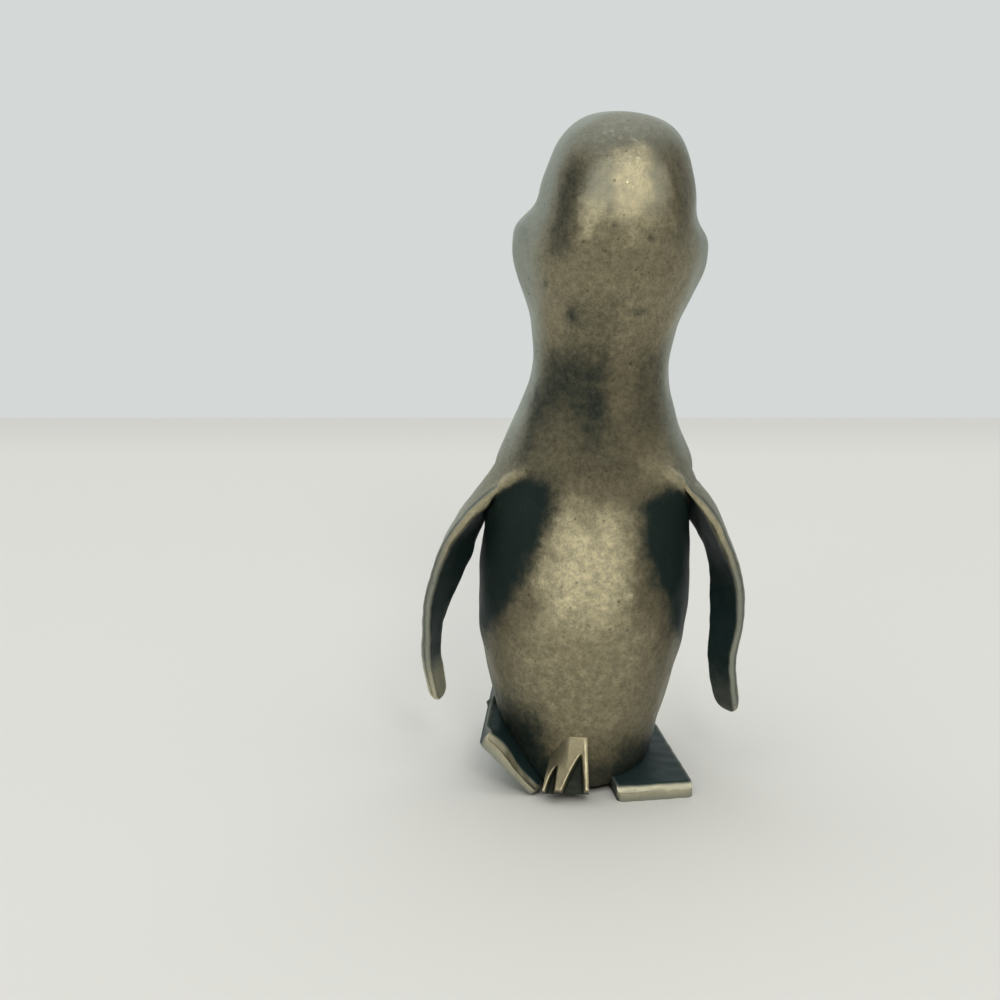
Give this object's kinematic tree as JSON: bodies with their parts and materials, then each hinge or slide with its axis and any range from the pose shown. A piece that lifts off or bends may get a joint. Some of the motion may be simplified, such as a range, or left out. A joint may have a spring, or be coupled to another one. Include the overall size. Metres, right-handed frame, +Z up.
{
  "type": "pewter penguin figurine",
  "caption": "Small antiqued pewter penguin chick in mid-waddle, with curved flippers, plate feet and a notched tail, that stands on a shelf or desk as an ornament.",
  "frame": {"origin": "bottom centre of the bounding box, on the table plane under the figure", "axes": "+Z up, +Y the way the chick faces, +X to the chick's right"},
  "size_m": [0.031, 0.0246, 0.0634],
  "materials": {
    "cast_pewter": "antiqued cast pewter, dark in the hollows and worn bright on the high places",
    "plate_pewter": "dark patinated plate with rubbed edges",
    "bright_pewter": "plain pewter wire and beads, satin"
  },
  "bodies": {
    "root": {"trunk_casting": "cast_pewter", "head_casting": "cast_pewter", "tail": "cast_pewter", "bill": "cast_pewter", "left_flipper": "plate_pewter", "right_flipper": "plate_pewter", "left_foot": "plate_pewter", "right_foot": "plate_pewter", "left_eye": "bright_pewter", "right_eye": "bright_pewter", "neck_pin": "bright_pewter", "left_foot_pin": "bright_pewter", "right_foot_pin": "bright_pewter"}
  },
  "joints": []
}
